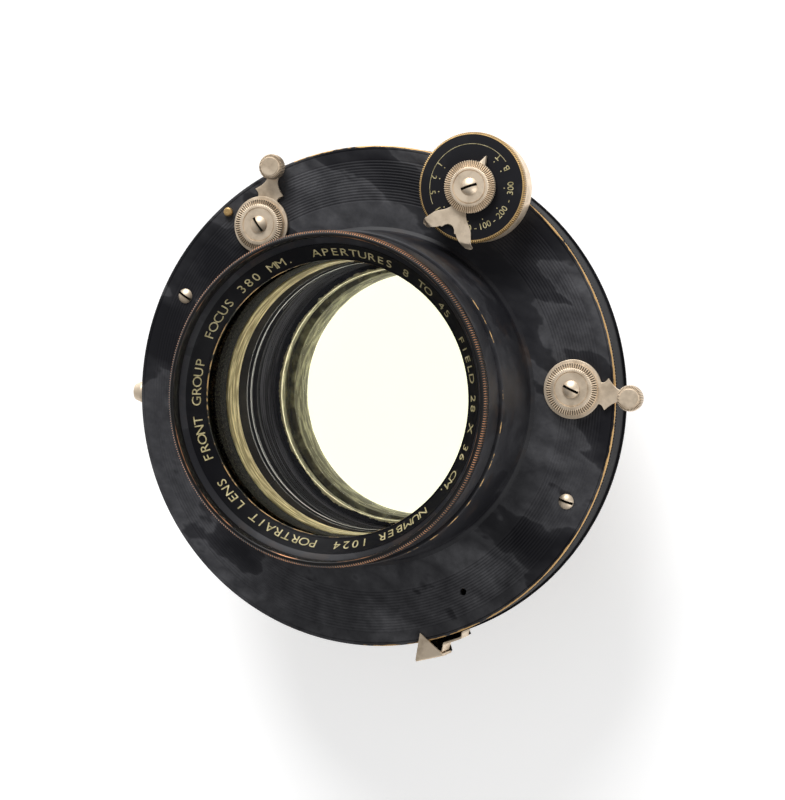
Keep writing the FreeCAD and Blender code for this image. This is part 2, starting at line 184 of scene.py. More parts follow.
def piece(name, points, quads, material, body, replaces=(), wear=None, smooth=35.0):
    """Mesh object from points in millimetres and quads; it rides on a body."""
    mesh = bpy.data.meshes.new(name)
    points = np.asarray(points, float).reshape(-1, 3) * MM
    mesh.from_pydata(points, [], np.asarray(quads).tolist())
    if wear is not None:
        layer = mesh.attributes.new("wear", "FLOAT", "POINT")
        layer.data.foreach_set("value", np.asarray(wear, np.float32).ravel())
    obj = bpy.data.objects.new(name, mesh)
    bpy.context.scene.collection.objects.link(obj)
    finish(obj, material, body, replaces, smooth)
    return obj


def finish(obj, material, body, replaces=(), smooth=35.0):
    """Normals outwards, smooth shading up to an angle, material, body and slot."""
    work = bmesh.new()
    work.from_mesh(obj.data)
    bmesh.ops.remove_doubles(work, verts=work.verts, dist=1e-7)
    bmesh.ops.recalc_face_normals(work, faces=work.faces)
    work.to_mesh(obj.data)
    work.free()
    obj.data.shade_smooth()
    obj.data.set_sharp_from_angle(angle=math.radians(smooth))
    obj.data.materials.clear()
    obj.data.materials.append(material)
    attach(obj, body)
    if replaces:
        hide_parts(*replaces)


def teeth_wave(angle, teeth):
    """Rounded ridges: 0 at the crest and 1 in the valley, teeth times a turn."""
    return (0.5 - 0.5 * np.cos(angle * teeth)) ** 0.7


def turned(name, profile, material, body, centre=(0.0, 0.0), steps=360, teeth=0,
           replaces=(), wear=None, axes=None, smooth=35.0):
    """Surface of revolution. The profile's columns are radius, height, and optionally how far
    flutes cut inwards (radial) and downwards (axial); point = centre + (r - cut * wave) * (cos,
    sin) of the angle, with height z - drop * wave. wear(radius, height, wave, bearing) gives the
    rubbed mask, or "flutes" puts the mask where the flutes are cut. axes are an origin and three
    directions for a piece that doesn't stand along +Z."""
    p = np.asarray(profile, float)
    p = np.pad(p, ((0, 0), (0, 4 - p.shape[1])))
    angle = np.linspace(0, 2 * math.pi, steps, endpoint=False)[:, None]
    wave = teeth_wave(angle, teeth) if teeth else np.zeros_like(angle)
    r = p[None, :, 0] - p[None, :, 2] * wave
    z = p[None, :, 1] - p[None, :, 3] * wave
    x, y = r * np.cos(angle), r * np.sin(angle)
    points = np.stack([x + centre[0], y + centre[1], z], -1)
    if axes is not None:
        origin, ax, ay, az = axes
        points = origin + x[..., None] * ax + y[..., None] * ay + z[..., None] * az
    bearing = np.degrees(np.pi / 2 - angle)
    # Mask of the flutes: the plated finishes darken it as painted shade.
    fluted = (p[None, :, 2:].sum(-1) > 0.03) * np.clip(wave, 0, 1) ** 1.4
    mask = fluted if wear == "flutes" else wear(r, z, wave, bearing) if wear else None
    mask = None if mask is None else np.broadcast_to(mask, r.shape)
    quads = grid_faces(steps, len(p))
    return piece(name, points, quads, material, body, replaces, mask, smooth)


def slab(name, top, bottom, material, body, replaces=(), bevel=0.07, smooth=35.0):
    """Closed plate between a top and a bottom grid of points with the same layout."""
    rows, columns = top.shape[:2]
    n = rows * columns
    index = np.arange(n).reshape(rows, columns)
    sheet = grid_faces(rows, columns, False, False)
    rim = np.concatenate([index[0, :-1], index[:-1, -1], index[-1, :0:-1], index[:0:-1, 0]])
    nxt = np.roll(rim, -1)
    walls = np.stack([rim, nxt, nxt + n, rim + n], -1)
    quads = np.concatenate([sheet, sheet[:, ::-1] + n, walls])
    points = np.concatenate([top.reshape(-1, 3), bottom.reshape(-1, 3)])
    obj = piece(name, points, quads, material, body, replaces, None, smooth)
    if bevel:
        edge = obj.modifiers.new("edge", "BEVEL")
        edge.width = bevel * MM
        edge.segments = 2
        edge.limit_method = "ANGLE"
        edge.angle_limit = math.radians(40)
    return obj


def placed(points, centre, bearing):
    """Points drawn with +Y as their own forward direction, turned to a bearing and moved."""
    b = math.radians(bearing)
    x, y = points[..., 0], points[..., 1]
    return np.stack([x * math.cos(b) + y * math.sin(b) + centre[0],
                     -x * math.sin(b) + y * math.cos(b) + centre[1], points[..., 2]], -1)


def around(radius, bearing):
    """Place at a radius and a bearing from the optical axis."""
    b = math.radians(bearing)
    return np.array([radius * math.sin(b), radius * math.cos(b)])


def smoothstep(edge0, edge1, value):
    """Rises from 0 to 1 between two edges: three t squared less two t cubed."""
    t = np.clip((value - edge0) / (edge1 - edge0), 0, 1)
    return t * t * (3 - 2 * t)


# ---- materials ----------------------------------------------------------------------
def add(tree, kind, links=None, values=None, **settings):
    """Adds a node with its settings, its unlinked values and its links."""
    made = tree.nodes.new(kind)
    for key, value in settings.items():
        setattr(made, key, value)
    for key, value in (values or {}).items():
        made.inputs[key].default_value = value
    for key, socket in (links or {}).items():
        tree.links.new(socket, made.inputs[key])
    return made


def new_material(name):
    """New material, with its tree, its shader and the place on the object."""
    material = bpy.data.materials.new(name)
    material.use_nodes = True
    tree = material.node_tree
    shader = tree.nodes["Principled BSDF"]
    place = add(tree, "ShaderNodeTexCoord").outputs["Object"]
    return material, tree, shader, place


def noise(tree, place, size_mm, detail=3.0, roughness=0.55):
    """Noise with blotches of about a given size."""
    return add(tree, "ShaderNodeTexNoise", {"Vector": place},
               {"Scale": 1.0 / (size_mm * MM), "Detail": detail, "Roughness": roughness}).outputs["Fac"]


def ramp(tree, value, points):
    """Colour ramp from (position, grey or colour) pairs."""
    made = add(tree, "ShaderNodeValToRGB", {"Fac": value})
    marks = made.color_ramp.elements
    while len(marks) < len(points):
        marks.new(0.5)
    for mark, (position, colour) in zip(marks, points):
        mark.position = position
        mark.color = colour if isinstance(colour, tuple) else (colour, colour, colour, 1)
    return made.outputs["Color"]


def mix(tree, factor, first, second):
    """Colour mix; first and second are sockets or linear colours."""
    made = add(tree, "ShaderNodeMix", data_type="RGBA")
    for socket, value in (("Factor", factor), ("A", first), ("B", second)):
        target = next(s for s in made.inputs if s.name == socket and s.enabled)
        if isinstance(value, (tuple, float)):
            target.default_value = value
        else:
            tree.links.new(value, target)
    return next(s for s in made.outputs if s.enabled)


def maths(tree, operation, first, second=None, clamp=False):
    """Arithmetic on sockets or numbers."""
    made = add(tree, "ShaderNodeMath", operation=operation, use_clamp=clamp)
    for i, value in enumerate((first, second)):
        if value is None:
            continue
        if isinstance(value, (int, float)):
            made.inputs[i].default_value = value
        else:
            tree.links.new(value, made.inputs[i])
    return made.outputs["Value"]


def dress(tree, shader, inputs):
    """Gives each named input of the shader its socket or its plain value."""
    for key, value in inputs.items():
        if isinstance(value, bpy.types.NodeSocket):
            tree.links.new(value, shader.inputs[key])
        else:
            shader.inputs[key].default_value = value


def bump(tree, shader, height, strength, distance_mm):
    """Bumps of a depth in millimetres, from a height socket."""
    made = add(tree, "ShaderNodeBump", {"Height": height},
               {"Strength": strength, "Distance": distance_mm * MM})
    tree.links.new(made.outputs["Normal"], shader.inputs["Normal"])


def lacquer(name, haze_amount=1.0, gloss=0.32, brown=0.0, shine=0.28, shade=None, bare=None):
    """Black stove lacquer on brass: old and handled, so it blooms grey in clouds with tide marks,
    scratches finely and is rubbed through to brass wherever the piece's wear mask is high."""
    material, tree, shader, place = new_material(name)
    drift = add(tree, "ShaderNodeMapping", {"Vector": place},
                {"Scale": (0.75, 1.35, 1.0), "Rotation": (0.0, 0.0, 0.9)}).outputs["Vector"]
    clouds = noise(tree, drift, 24, 4.0, 0.52)
    haze = ramp(tree, clouds, [(0.42, 0.0), (0.505, 0.18), (0.52, 0.6), (0.58, 0.38), (0.69, 1.0)])
    film = noise(tree, place, 3.2, 5.0, 0.7)
    haze = maths(tree, "MULTIPLY", haze, ramp(tree, film, [(0.3, 0.45), (0.7, 1.0)]), True)
    haze = maths(tree, "MULTIPLY", haze, haze_amount, True)
    base = mix(tree, haze, linear(shade) if shade else colour("lacquer"), colour("haze"))
    if brown:
        rust = maths(tree, "MULTIPLY", ramp(tree, noise(tree, place, 7, 3.0), [(0.55, 0.0), (0.75, 1.0)]),
                     brown, True)
        base = mix(tree, rust, base, linear("4a3a2e"))
    wear = add(tree, "ShaderNodeAttribute", attribute_name="wear").outputs["Fac"]
    chips = noise(tree, place, 5, 6.0, 0.65)
    rubbed = maths(tree, "ADD", wear, maths(tree, "MULTIPLY", maths(tree, "SUBTRACT", chips, 0.5), 2.0))
    rubbed = maths(tree, "MULTIPLY", rubbed, ramp(tree, wear, [(0.10, 0.0), (0.30, 1.0)]))
    worn = ramp(tree, rubbed, [(0.46, 0.0), (0.56, 1.0)])
    metal = (linear(bare), linear(bare)) if bare else (colour("brass"), linear("c69c68"))
    tone = mix(tree, noise(tree, place, 2.0), *metal)
    rough = maths(tree, "ADD", gloss, maths(tree, "MULTIPLY", haze, 0.25))
    dress(tree, shader, {
        "Base Color": mix(tree, worn, base, tone),
        "Metallic": maths(tree, "MULTIPLY", worn, 0.1 if bare else 0.55),
        "Roughness": maths(tree, "ADD", rough, maths(tree, "MULTIPLY", film, 0.06)),
        "Specular IOR Level": shine})
    bump(tree, shader, film, 0.12, 0.03)
    return material


def plated(name, metal, rough=0.3, tarnish="9a8468", grain_mm=0.35, flute_shade="2a2018"):
    """Nickel or brass, machined and handled: fine grain, faint tarnish in blotches, and old dirt
    in the flutes, where the wear mask is high. The grain of a real plate is finer than 0.1 mm; it
    is drawn coarser so that it shows."""
    material, tree, shader, place = new_material(name)
    blotch = ramp(tree, noise(tree, place, 4.5, 5.0, 0.6), [(0.45, 0.0), (0.78, 0.75)])
    grain = noise(tree, place, grain_mm, 3.0)
    clean = mix(tree, blotch, metal, linear(tarnish))
    # The mask of the flutes darkens them: painted shade in the hollows.
    flutes = add(tree, "ShaderNodeAttribute", attribute_name="wear").outputs["Fac"]
    flutes = ramp(tree, flutes, [(0.4, 0.0), (0.85, 0.85)])
    dress(tree, shader, {
        "Base Color": mix(tree, flutes, clean, linear(flute_shade)),
        "Metallic": maths(tree, "SUBTRACT", 0.78, maths(tree, "MULTIPLY", flutes, 0.5)),
        "Roughness": maths(tree, "ADD", rough, maths(tree, "MULTIPLY", grain, 0.14))})
    bump(tree, shader, grain, 0.25, 0.012)
    return material


def copper_rim(name):
    """Knurled rim: lacquer kept in the valleys and rubbed to warm brass on the crests."""
    material, tree, shader, place = new_material(name)
    wear = add(tree, "ShaderNodeAttribute", attribute_name="wear").outputs["Fac"]
    patches = noise(tree, place, 9, 4.0)
    rubbed = maths(tree, "ADD", wear, maths(tree, "MULTIPLY", maths(tree, "SUBTRACT", patches, 0.53), 1.3))
    worn = ramp(tree, rubbed, [(0.38, 0.0), (0.62, 1.0)])
    dress(tree, shader, {"Base Color": mix(tree, worn, linear("0f0d0d"), linear("c98f66")),
                         "Metallic": maths(tree, "MULTIPLY", worn, 0.85), "Roughness": 0.4,
                         "Specular IOR Level": 0.3})
    return material


def gritty(name, hex_colour, fleck_colour, rough=0.85, grit_mm=0.5, strength=0.7, streak=1.0, sheen=0.2):
    """Dull surface inside the barrel, stippled by its grit: black paint or old bare metal. With
    streak below 1 the stipple is drawn out round the optical axis, like marks of the lathe."""
    material, tree, shader, place = new_material(name)
    if streak < 1.0:
        place = add(tree, "ShaderNodeMapping", {"Vector": place},
                    {"Scale": (streak, streak, 1.0)}).outputs["Vector"]
    grit = noise(tree, place, grit_mm, 3.0)
    flecks = ramp(tree, grit, [(0.45, 0.0), (0.65, 1.0)])
    dress(tree, shader, {"Base Color": mix(tree, flecks, linear(hex_colour), linear(fleck_colour)),
                         "Roughness": rough, "Specular IOR Level": sheen})
    bump(tree, shader, grit, strength, 0.08)
    return material


def engraving_paint(name):
    """Aged cream paint wiped into engraved letters."""
    material, tree, shader, place = new_material(name)
    patches = ramp(tree, noise(tree, place, 1.2, 4.0), [(0.35, 0.0), (0.65, 1.0)])
    dress(tree, shader, {"Base Color": mix(tree, patches, linear("8d8358"), colour("paint")),
                         "Roughness": 0.6})
    return material


def optical_glass(name):
    """Crown glass, cemented with balsam that has gone slightly yellow. Its specular tint is low,
    so the lamps show only faintly in its faces."""
    material, tree, shader, place = new_material(name)
    dress(tree, shader, {"Base Color": linear("fbfbef"), "Transmission Weight": 1.0, "Roughness": 0.0,
                         "IOR": 1.52, "Specular Tint": (0.3, 0.3, 0.36, 1)})
    return material


def light_surface(name, colour, strength):
    """Matt white acrylic that is lit from behind, so it also glows evenly."""
    material, tree, shader, place = new_material(name)
    dress(tree, shader, {"Base Color": (0.9, 0.9, 0.9, 1), "Roughness": 0.6,
                         "Emission Color": colour, "Emission Strength": strength})
    return material


MATERIALS = {}


def material(name):
    """Each material is made once, when it is first used."""
    makers = {
        # Stove enamel brushed on brass, then handled for a century: satin, clouded grey.
        "stove_lacquer": lambda n: lacquer(n, 1.0, 0.42, shine=0.16),
        # The case's side: a deeper black than the cover's lacquer, as painted shade, and hardly clouded.
        "gloss_lacquer": lambda n: lacquer(n, 0.1, 0.35, shine=0.03, shade="0d0d10"),
        # Neck and barrels, where the enamel has gone a little brown.
        "neck_lacquer": lambda n: lacquer(n, 0.35, 0.42, 0.35, shine=0.22),
        # The name ring and the dial's face lie sheltered and stay even. The name ring, deep in its recess,
        # is also a darker black, as painted shade.
        "ring_lacquer": lambda n: lacquer(n, 0.08, 0.4, shine=0.08, shade="0f0f12"),
        "dial_lacquer": lambda n: lacquer(n, 0.1, 0.5, shine=0.15),
        # The rear lock ring's edge, chipped by a spanner down to pale metal.
        "chipped_lacquer": lambda n: lacquer(n, 0.1, 0.5, shine=0.05, bare="f2ecd0"),
        # Nickel plate on turned brass, satin, yellowed; the hub's flutes are given a lighter painted
        # shade.
        "satin_nickel": lambda n: plated(n, colour("nickel"), 0.42),
        "hub_nickel": lambda n: plated(n, colour("nickel"), 0.42, flute_shade="8a775f"),
        # Turned brass, bare, with brown tarnish.
        "turned_brass": lambda n: plated(n, colour("brass"), 0.35, "8a6a40"),
        # Spring steel of the blades, blued.
        "blued_steel": lambda n: plated(n, linear("3a3a40"), 0.4, "26262a"),
        # Beaded rim that the lens cap has rubbed: brown-black valleys, warm crests.
        "rubbed_rim": copper_rim,
        # Matt black paint against reflections. Its grit is drawn coarser so that it shows. In the screws'
        # slots and on the pointer's shelf it is painted shade.
        "flat_black": lambda n: gritty(n, "040404", "2b2922", sheen=0.02),
        # Bare brass of the lock ring and the rear mouth, scratched round by the lathe.
        "pale_metal": lambda n: gritty(n, "a0926c", "fdf0c4", 0.6, 0.9, 0.4, 0.12),
        "tarnished_metal": lambda n: gritty(n, "6e6b57", "c8c4a4", 0.6, 1.1, 0.6, 0.25),
        # Blackened bore with the lathe's marks left in it.
        "lathe_black": lambda n: gritty(n, "070709", "303036", 0.8, 1.0, 0.3, 0.05, 0.02),
        # Cream paint in the engraving, dirty in places.
        "letter_paint": engraving_paint,
        # Clear glass with a faint straw tint.
        "crown_glass": optical_glass,
    }
    if name not in MATERIALS:
        MATERIALS[name] = makers[name](name)
    return MATERIALS[name]


# ---- lettering ----------------------------------------------------------------------
def letters(name, items, warp, material_name, body, thin=0.0):
    """Raised lettering as one closed mesh. items are (text, x, y, height) in millimetres on a
    flat sheet, and warp(points) lays the sheet on its surface."""
    points, faces, count = [], [], 0
    for text, x, y, height in items:
        curve = bpy.data.curves.new(name, "FONT")
        curve.body, curve.size, curve.align_x = text, height / 0.73, "CENTER"
        curve.extrude, curve.offset, curve.resolution_u = 0.02, -thin, 3
        flat = bpy.data.objects.new(name, curve)
        mesh = bpy.data.meshes.new_from_object(flat)
        co = np.empty(len(mesh.vertices) * 3)
        mesh.vertices.foreach_get("co", co)
        points.append(co.reshape(-1, 3) + (x, y, 0))
        faces += [[v + count for v in p.vertices] for p in mesh.polygons]
        count += len(mesh.vertices)
        bpy.data.objects.remove(flat)
        bpy.data.curves.remove(curve)
        bpy.data.meshes.remove(mesh)
    made = bpy.data.meshes.new(name)
    made.from_pydata(warp(np.concatenate(points)) * MM, [], faces)
    obj = bpy.data.objects.new(name, made)
    bpy.context.scene.collection.objects.link(obj)
    finish(obj, material(material_name), body)
    return obj


def carve(obj, cutter):
    """Takes the cutter's space out of a piece and removes the cutter."""
    cut = obj.modifiers.new("cut", "BOOLEAN")
    cut.operation, cut.object, cut.solver = "DIFFERENCE", cutter, "EXACT"
    depsgraph = bpy.context.evaluated_depsgraph_get()
    mesh = bpy.data.meshes.new_from_object(obj.evaluated_get(depsgraph))
    obj.modifiers.clear()
    obj.data = mesh
    bpy.data.objects.remove(cutter)


def prism_cutter(outline, bottom, top):
    """Plain closed prism over a flat outline; it only cuts."""
    n = len(outline)
    points = np.concatenate([np.column_stack([outline, np.full(n, z)]) for z in (bottom, top)])
    i = np.arange(n)
    j = (i + 1) % n
    sides = np.stack([i, j, j + n, i + n], -1).tolist()
    mesh = bpy.data.meshes.new("cutter")
    mesh.from_pydata(points * MM, [], sides + [i[::-1].tolist(), (i + n).tolist()])
    cutter = bpy.data.objects.new("cutter", mesh)
    bpy.context.scene.collection.objects.link(cutter)
    return cutter


def rod_cutter(radius, bottom, top, centre, steps=32):
    """Round prism: centre + radius * (cos, sin) of the angle."""
    angle = np.linspace(0, 2 * math.pi, steps, endpoint=False)
    ring = np.stack([centre[0] + radius * np.cos(angle), centre[1] + radius * np.sin(angle)], -1)
    return prism_cutter(ring, bottom, top)


def box_cutter(centre, bearing, half_width, half_length, bottom, top):
    """Box that lies along a bearing."""
    w, n = half_width, half_length
    flat = np.array([(-w, -n, 0), (w, -n, 0), (w, n, 0), (-w, n, 0)])
    return prism_cutter(placed(flat, centre, bearing)[:, :2], bottom, top)


def arc_slab(name, r_in, r_out, bottom, top, first, last, material_made, body, replaces=(),
             centre=(0.0, 0.0), steps=24):
    """Part of a ring between two bearings, as a slab."""
    bearing = np.radians(np.linspace(first, last, steps))[:, None]
    r = np.array([r_in, r_out])[None, :]
    x, y = centre[0] + r * np.sin(bearing), centre[1] + r * np.cos(bearing)
    lid = np.stack([x, y, np.full_like(x, top)], -1)
    base = np.stack([x, y, np.full_like(x, bottom)], -1)
    return slab(name, lid, base, material_made, body, replaces)


# ---- the lens -----------------------------------------------------------------------
HOUSING = "housing"


def edge_rub(r_edge, z_edge, reach, base=0.28):
    """Wear mask that is 1 on a turned edge and fades over a few tenths of a millimetre; it is
    strongest on the side where the hand and the table rub."""
    def mask(r, z, wave, bearing):
        near = np.exp(-((r - r_edge) ** 2 + (z - z_edge) ** 2) / reach ** 2)
        side = np.exp(-((((bearing - 75) + 180) % 360 - 180) / 75.0) ** 4)
        crown = np.exp(-((((bearing + 30) + 180) % 360 - 180) / 25.0) ** 4)
        return near * (base + 0.6 * side + 0.4 * crown)
    return mask


def build_cover():
    """Cover: its face is PLATE_TOP less a groove's depth times sin squared of the radius over the
    pitch. The edge is a second piece, with milled teeth in its band."""
    pitch, depth = sizes().groove_pitch / MM, sizes().groove_depth / MM
    seam = PLATE_R - 0.85
    first, plain_rim, points_per_groove = 44.4, 2.0, 6
    count = int((seam - plain_rim - first) / pitch)
    r = np.linspace(first, first + count * pitch, count * points_per_groove + 1)
    top = np.stack([r, PLATE_TOP - depth * np.sin(math.pi * (r - first) / pitch) ** 2], -1)
    bore = high("neck")[0] - 4.0
    face = np.concatenate([[(bore, PLATE_LOW), (bore, PLATE_TOP)], top,
                           [(seam, PLATE_TOP), (seam, PLATE_LOW)]])
    cover = turned("cover_face", face, material("stove_lacquer"), HOUSING, steps=600,
                   replaces=("front_cover",), smooth=60)
    sight_hole_r, place = 0.8, around(49.2, 125.5)
    carve(cover, rod_cutter(sight_hole_r, PLATE_LOW - 1, PLATE_TOP + 1, place))
    edge = rounded([(seam, PLATE_LOW), (seam, PLATE_TOP), (PLATE_R, PLATE_TOP), (PLATE_R, PLATE_LOW)],
                   0.3)
    corner = edge_rub(PLATE_R - 0.1, PLATE_TOP - 0.06, 0.27)

    def rubbed(r, z, wave, bearing):
        milled = (z < PLATE_TOP - 0.35) * (z > PLATE_LOW + 0.2) * (wave < 0.5) * (r > PLATE_R - 0.25)
        return corner(r, z, wave, bearing) + 0.34 * milled
    band = [(PLATE_R, z, 0.2, 0.0) for z in np.linspace(PLATE_TOP - 0.42, PLATE_LOW + 0.25, 4)]
    edge = np.pad(edge, ((0, 0), (0, 2)))
    # The band goes in after the point of the edge that is nearest to its upper end.
    split = int(np.argmin(np.abs(edge[:, 1] - PLATE_TOP + 0.3) + 9 * (edge[:, 0] < PLATE_R - 0.1))) + 1
    edge = np.concatenate([edge[:split], band, edge[split:]])
    turned("cover_milled_edge", edge, material("stove_lacquer"), HOUSING,
           steps=sizes().edge_teeth * 4, teeth=sizes().edge_teeth, wear=rubbed, smooth=60)


def build_case():
    """Case: a turned shell with a lip at its foot, open at the front, and a slot in its wall
    along which the aperture pointer travels."""
    lip_r, lid = high("shutter_case")[0], high("shutter_case")[2]
    wall_r, lip_top, wall_foot = lip_r - 0.45, 0.8, 0.95
    inner, back, bore = wall_r - 1.8, 1.6, 41.0
    profile = rounded([(bore, 0), (lip_r, 0), (lip_r, lip_top), (wall_r, wall_foot), (wall_r, lid),
                       (inner, lid), (inner, back), (bore, back)], 0.2)
    # Its lacquer is a darker black than the cover's: painted shade on the side.
    case = turned("case_shell", profile, material("gloss_lacquer"), HOUSING,
                  replaces=("shutter_case",))
    pointer, spare, travel = bearing_of("aperture_pointer"), 4, 53
    slot_low, slot_top = 3.4, 4.4
    slot = arc_slab("slot_cutter", inner - 1, wall_r + 1, slot_low, slot_top, pointer - spare,
                    pointer + travel, material("gloss_lacquer"), HOUSING)
    slot.modifiers.clear()
    carve(case, slot)


def build_neck():
    """Neck: a tube with a small foot where it meets the cover, worn at its upper edge."""
    foot_z, top_z, top_r = PLATE_TOP, NECK_TOP, 37.0
    foot_r, bore = top_r + 0.6, 33.65
    profile = rounded([(bore, foot_z), (foot_r + 1.2, foot_z), (foot_r + 0.3, foot_z + 0.35),
                       (foot_r, foot_z + 1.2), (top_r, top_z - 0.3), (top_r - 0.25, top_z),
                       (bore, top_z)], 0.15)
    turned("neck_tube", profile, material("neck_lacquer"), HOUSING, replaces=("neck",),
           wear=edge_rub(top_r - 0.05, top_z - 0.2, 0.2, -0.1), smooth=50)


def build_front_cell():
    """Front cell: the barrel that holds the glass, and a rim whose edge is knurled in beads. The
    beads are rubbed where they stand out: (1 - wave) to the power 2.5."""
    rim_r, band_low = high("front_cell")[0], RIM_TOP - 3.1
    seat, barrel_r, foot, shelf, cone_r, rim_in = 31.6, 33.55, 16.0, 33.0, 33.7, 35.0
    barrel = rounded([(seat, foot), (barrel_r, foot), (barrel_r, NECK_TOP), (rim_r - 0.25, NECK_TOP),
                      (rim_r - 0.25, band_low), (rim_in, band_low), (cone_r, 38.35), (cone_r, shelf),
                      (seat, shelf)], 0.12)
    turned("front_barrel", barrel, material("neck_lacquer"), HOUSING, replaces=("front_cell",))
    bead = 0.24
    rim = [(rim_in, band_low, 0, 0), (rim_r - 0.25, band_low, 0, 0), (rim_r, band_low + 0.3, bead, 0),
           (rim_r, RIM_TOP - 0.75, bead, 0), (rim_r - 0.12, RIM_TOP - 0.35, bead, 0.05),
           (rim_r - 0.4, RIM_TOP - 0.1, 0.12, 0.16), (rim_r - 0.65, RIM_TOP, 0, 0.05),
           (rim_in + 0.3, RIM_TOP, 0, 0), (rim_in + 0.12, RIM_TOP - 0.1, 0, 0),
           (rim_in, RIM_TOP - 0.5, 0, 0)]

    def crest(r, z, wave, bearing):
        inner = np.exp(-((r - rim_in - 0.16) / 0.12) ** 2 - ((z - RIM_TOP) / 0.25) ** 2)
        outer = (1 - wave) ** 2.5 * (r > rim_r - 0.6) * (z > RIM_TOP - 0.8)
        return np.clip(0.62 * inner + 0.85 * outer, 0, 1)
    turned("front_knurled_rim", rim, material("rubbed_rim"), HOUSING,
           steps=sizes().rim_teeth * 4, teeth=sizes().rim_teeth, wear=crest, smooth=80)


# Inner and outer ends of the name ring's cone: radius and height.
RING_IN, RING_OUT = np.array([30.3, 34.5]), np.array([33.69, 38.38])


def build_name_ring():
    """Name ring: a cone with a raised lip and rail. A letter at x along the sheet stands at the
    bearing x over the mean radius, and y climbs the cone's slope."""
    slope = (RING_OUT - RING_IN) / np.linalg.norm(RING_OUT - RING_IN)
    lip = RING_IN + slope * 0.45
    rail = RING_OUT - slope * 0.5
    profile = rounded([(RING_IN[0], 33.9), tuple(RING_IN), tuple(lip), tuple(lip + (0.10, -0.06)),
                       tuple(rail + (0.06, -0.04)), tuple(rail), tuple(RING_OUT), (33.69, 33.05),
                       (31.6, 33.05)], 0.05)

    def lip_rub(r, z, wave, bearing):
        return 0.5 * (r < RING_IN[0] + 0.12) * (z < RING_IN[1] + 0.02)
    # Its lacquer is a darker black than the cover's: painted shade in the recess.
    turned("name_ring_cone", profile, material("ring_lacquer"), HOUSING,
           replaces=("name_ring",), wear=lip_rub)
    letter = sizes().letter_height / MM
    centre = (RING_IN + RING_OUT) / 2
    radius = centre[0]
    words = ["PORTRAIT LENS", "FRONT GROUP", "FOCUS 380 MM.", "APERTURES 8 TO 45",
             "FIELD 28 X 36 CM.", "NUMBER 1024"]
    text = "  ".join(words)
    # The ring is read clockwise with the letters' feet towards the glass.
    start, lettered = math.radians(160), math.radians(354)
    step = radius * lettered / len(text)
    items = [(c, i * step, -letter / 2, letter) for i, c in enumerate(text) if c != " "]

    def on_cone(p):
        bearing = start + p[:, 0] / radius
        r = centre[0] + p[:, 1] * slope[0] - p[:, 2] * slope[1]
        z = centre[1] + p[:, 1] * slope[1] + p[:, 2] * slope[0]
        return np.stack([r * np.sin(bearing), r * np.cos(bearing), z], -1)
    letters("name_ring_letters", items, on_cone, "letter_paint", HOUSING, 0.012)


def spherical(r, edge_z, sag, edge_r):
    """Height of a spherical face with a sagitta at its edge. The ball's radius is the edge radius
    squared plus the sagitta squared, over twice the sagitta."""
    ball = (edge_r ** 2 + sag ** 2) / (2 * abs(sag))
    rise = np.sqrt(ball ** 2 - r ** 2) - math.sqrt(ball ** 2 - edge_r ** 2)
    return edge_z + math.copysign(1, sag) * rise


def glass_piece(name, node, edge_r, far_z, near_z, far_sag, near_sag):
    """Lens turned from two spherical faces."""
    r = np.linspace(0, edge_r, 28)
    near = np.stack([r, spherical(r, near_z, near_sag, edge_r)], -1)
    far = np.stack([r[::-1], spherical(r[::-1], far_z, far_sag, edge_r)], -1)
    return turned(name, np.concatenate([near, far]), material("crown_glass"), HOUSING,
                  steps=180, replaces=(node,))


def build_optics():
    """Both glass groups, the spacer with its step, and the lock ring, whose bore is a thread: a
    sine of the height over the thread's pitch."""
    glass_piece("front_lens_group", "front_glass", 31.5, 25.0, 32.9, 2.9, 3.2)
    glass_piece("rear_lens_group", "rear_glass", 30.4, -21.6, -14.6, -2.4, -2.1)
    # Black paint on the ground edge of the front group.
    turned("front_glass_edge", np.array([(31.42, 25.05), (31.42, 32.85), (31.56, 32.85), (31.56, 25.05)]),
           material("flat_black"), HOUSING)
    step, foot = low("front_spacer")[2], low("front_lock_ring")[2]
    spacer = rounded([(31.55, step), (31.55, 24.95), (30.4, 24.95), (30.4, step)], 0.1)
    turned("front_spacer_ring", spacer, material("flat_black"), HOUSING,
           replaces=("front_spacer",))
    thread = np.linspace(foot + 0.2, step - 0.2, 64)
    thread_r, depth, pitch = 30.25, 0.1, 0.8
    groove = thread_r + depth * np.sin(thread * 2 * math.pi / pitch)
    lock = np.concatenate([np.stack([groove, thread], -1),
                           [(30.5, step), (31.5, step), (31.5, 16.0), (33.5, 16.0), (33.5, foot),
                            (30.5, foot)]])
    turned("front_lock", lock, material("pale_metal"), HOUSING,
           replaces=("front_lock_ring",))


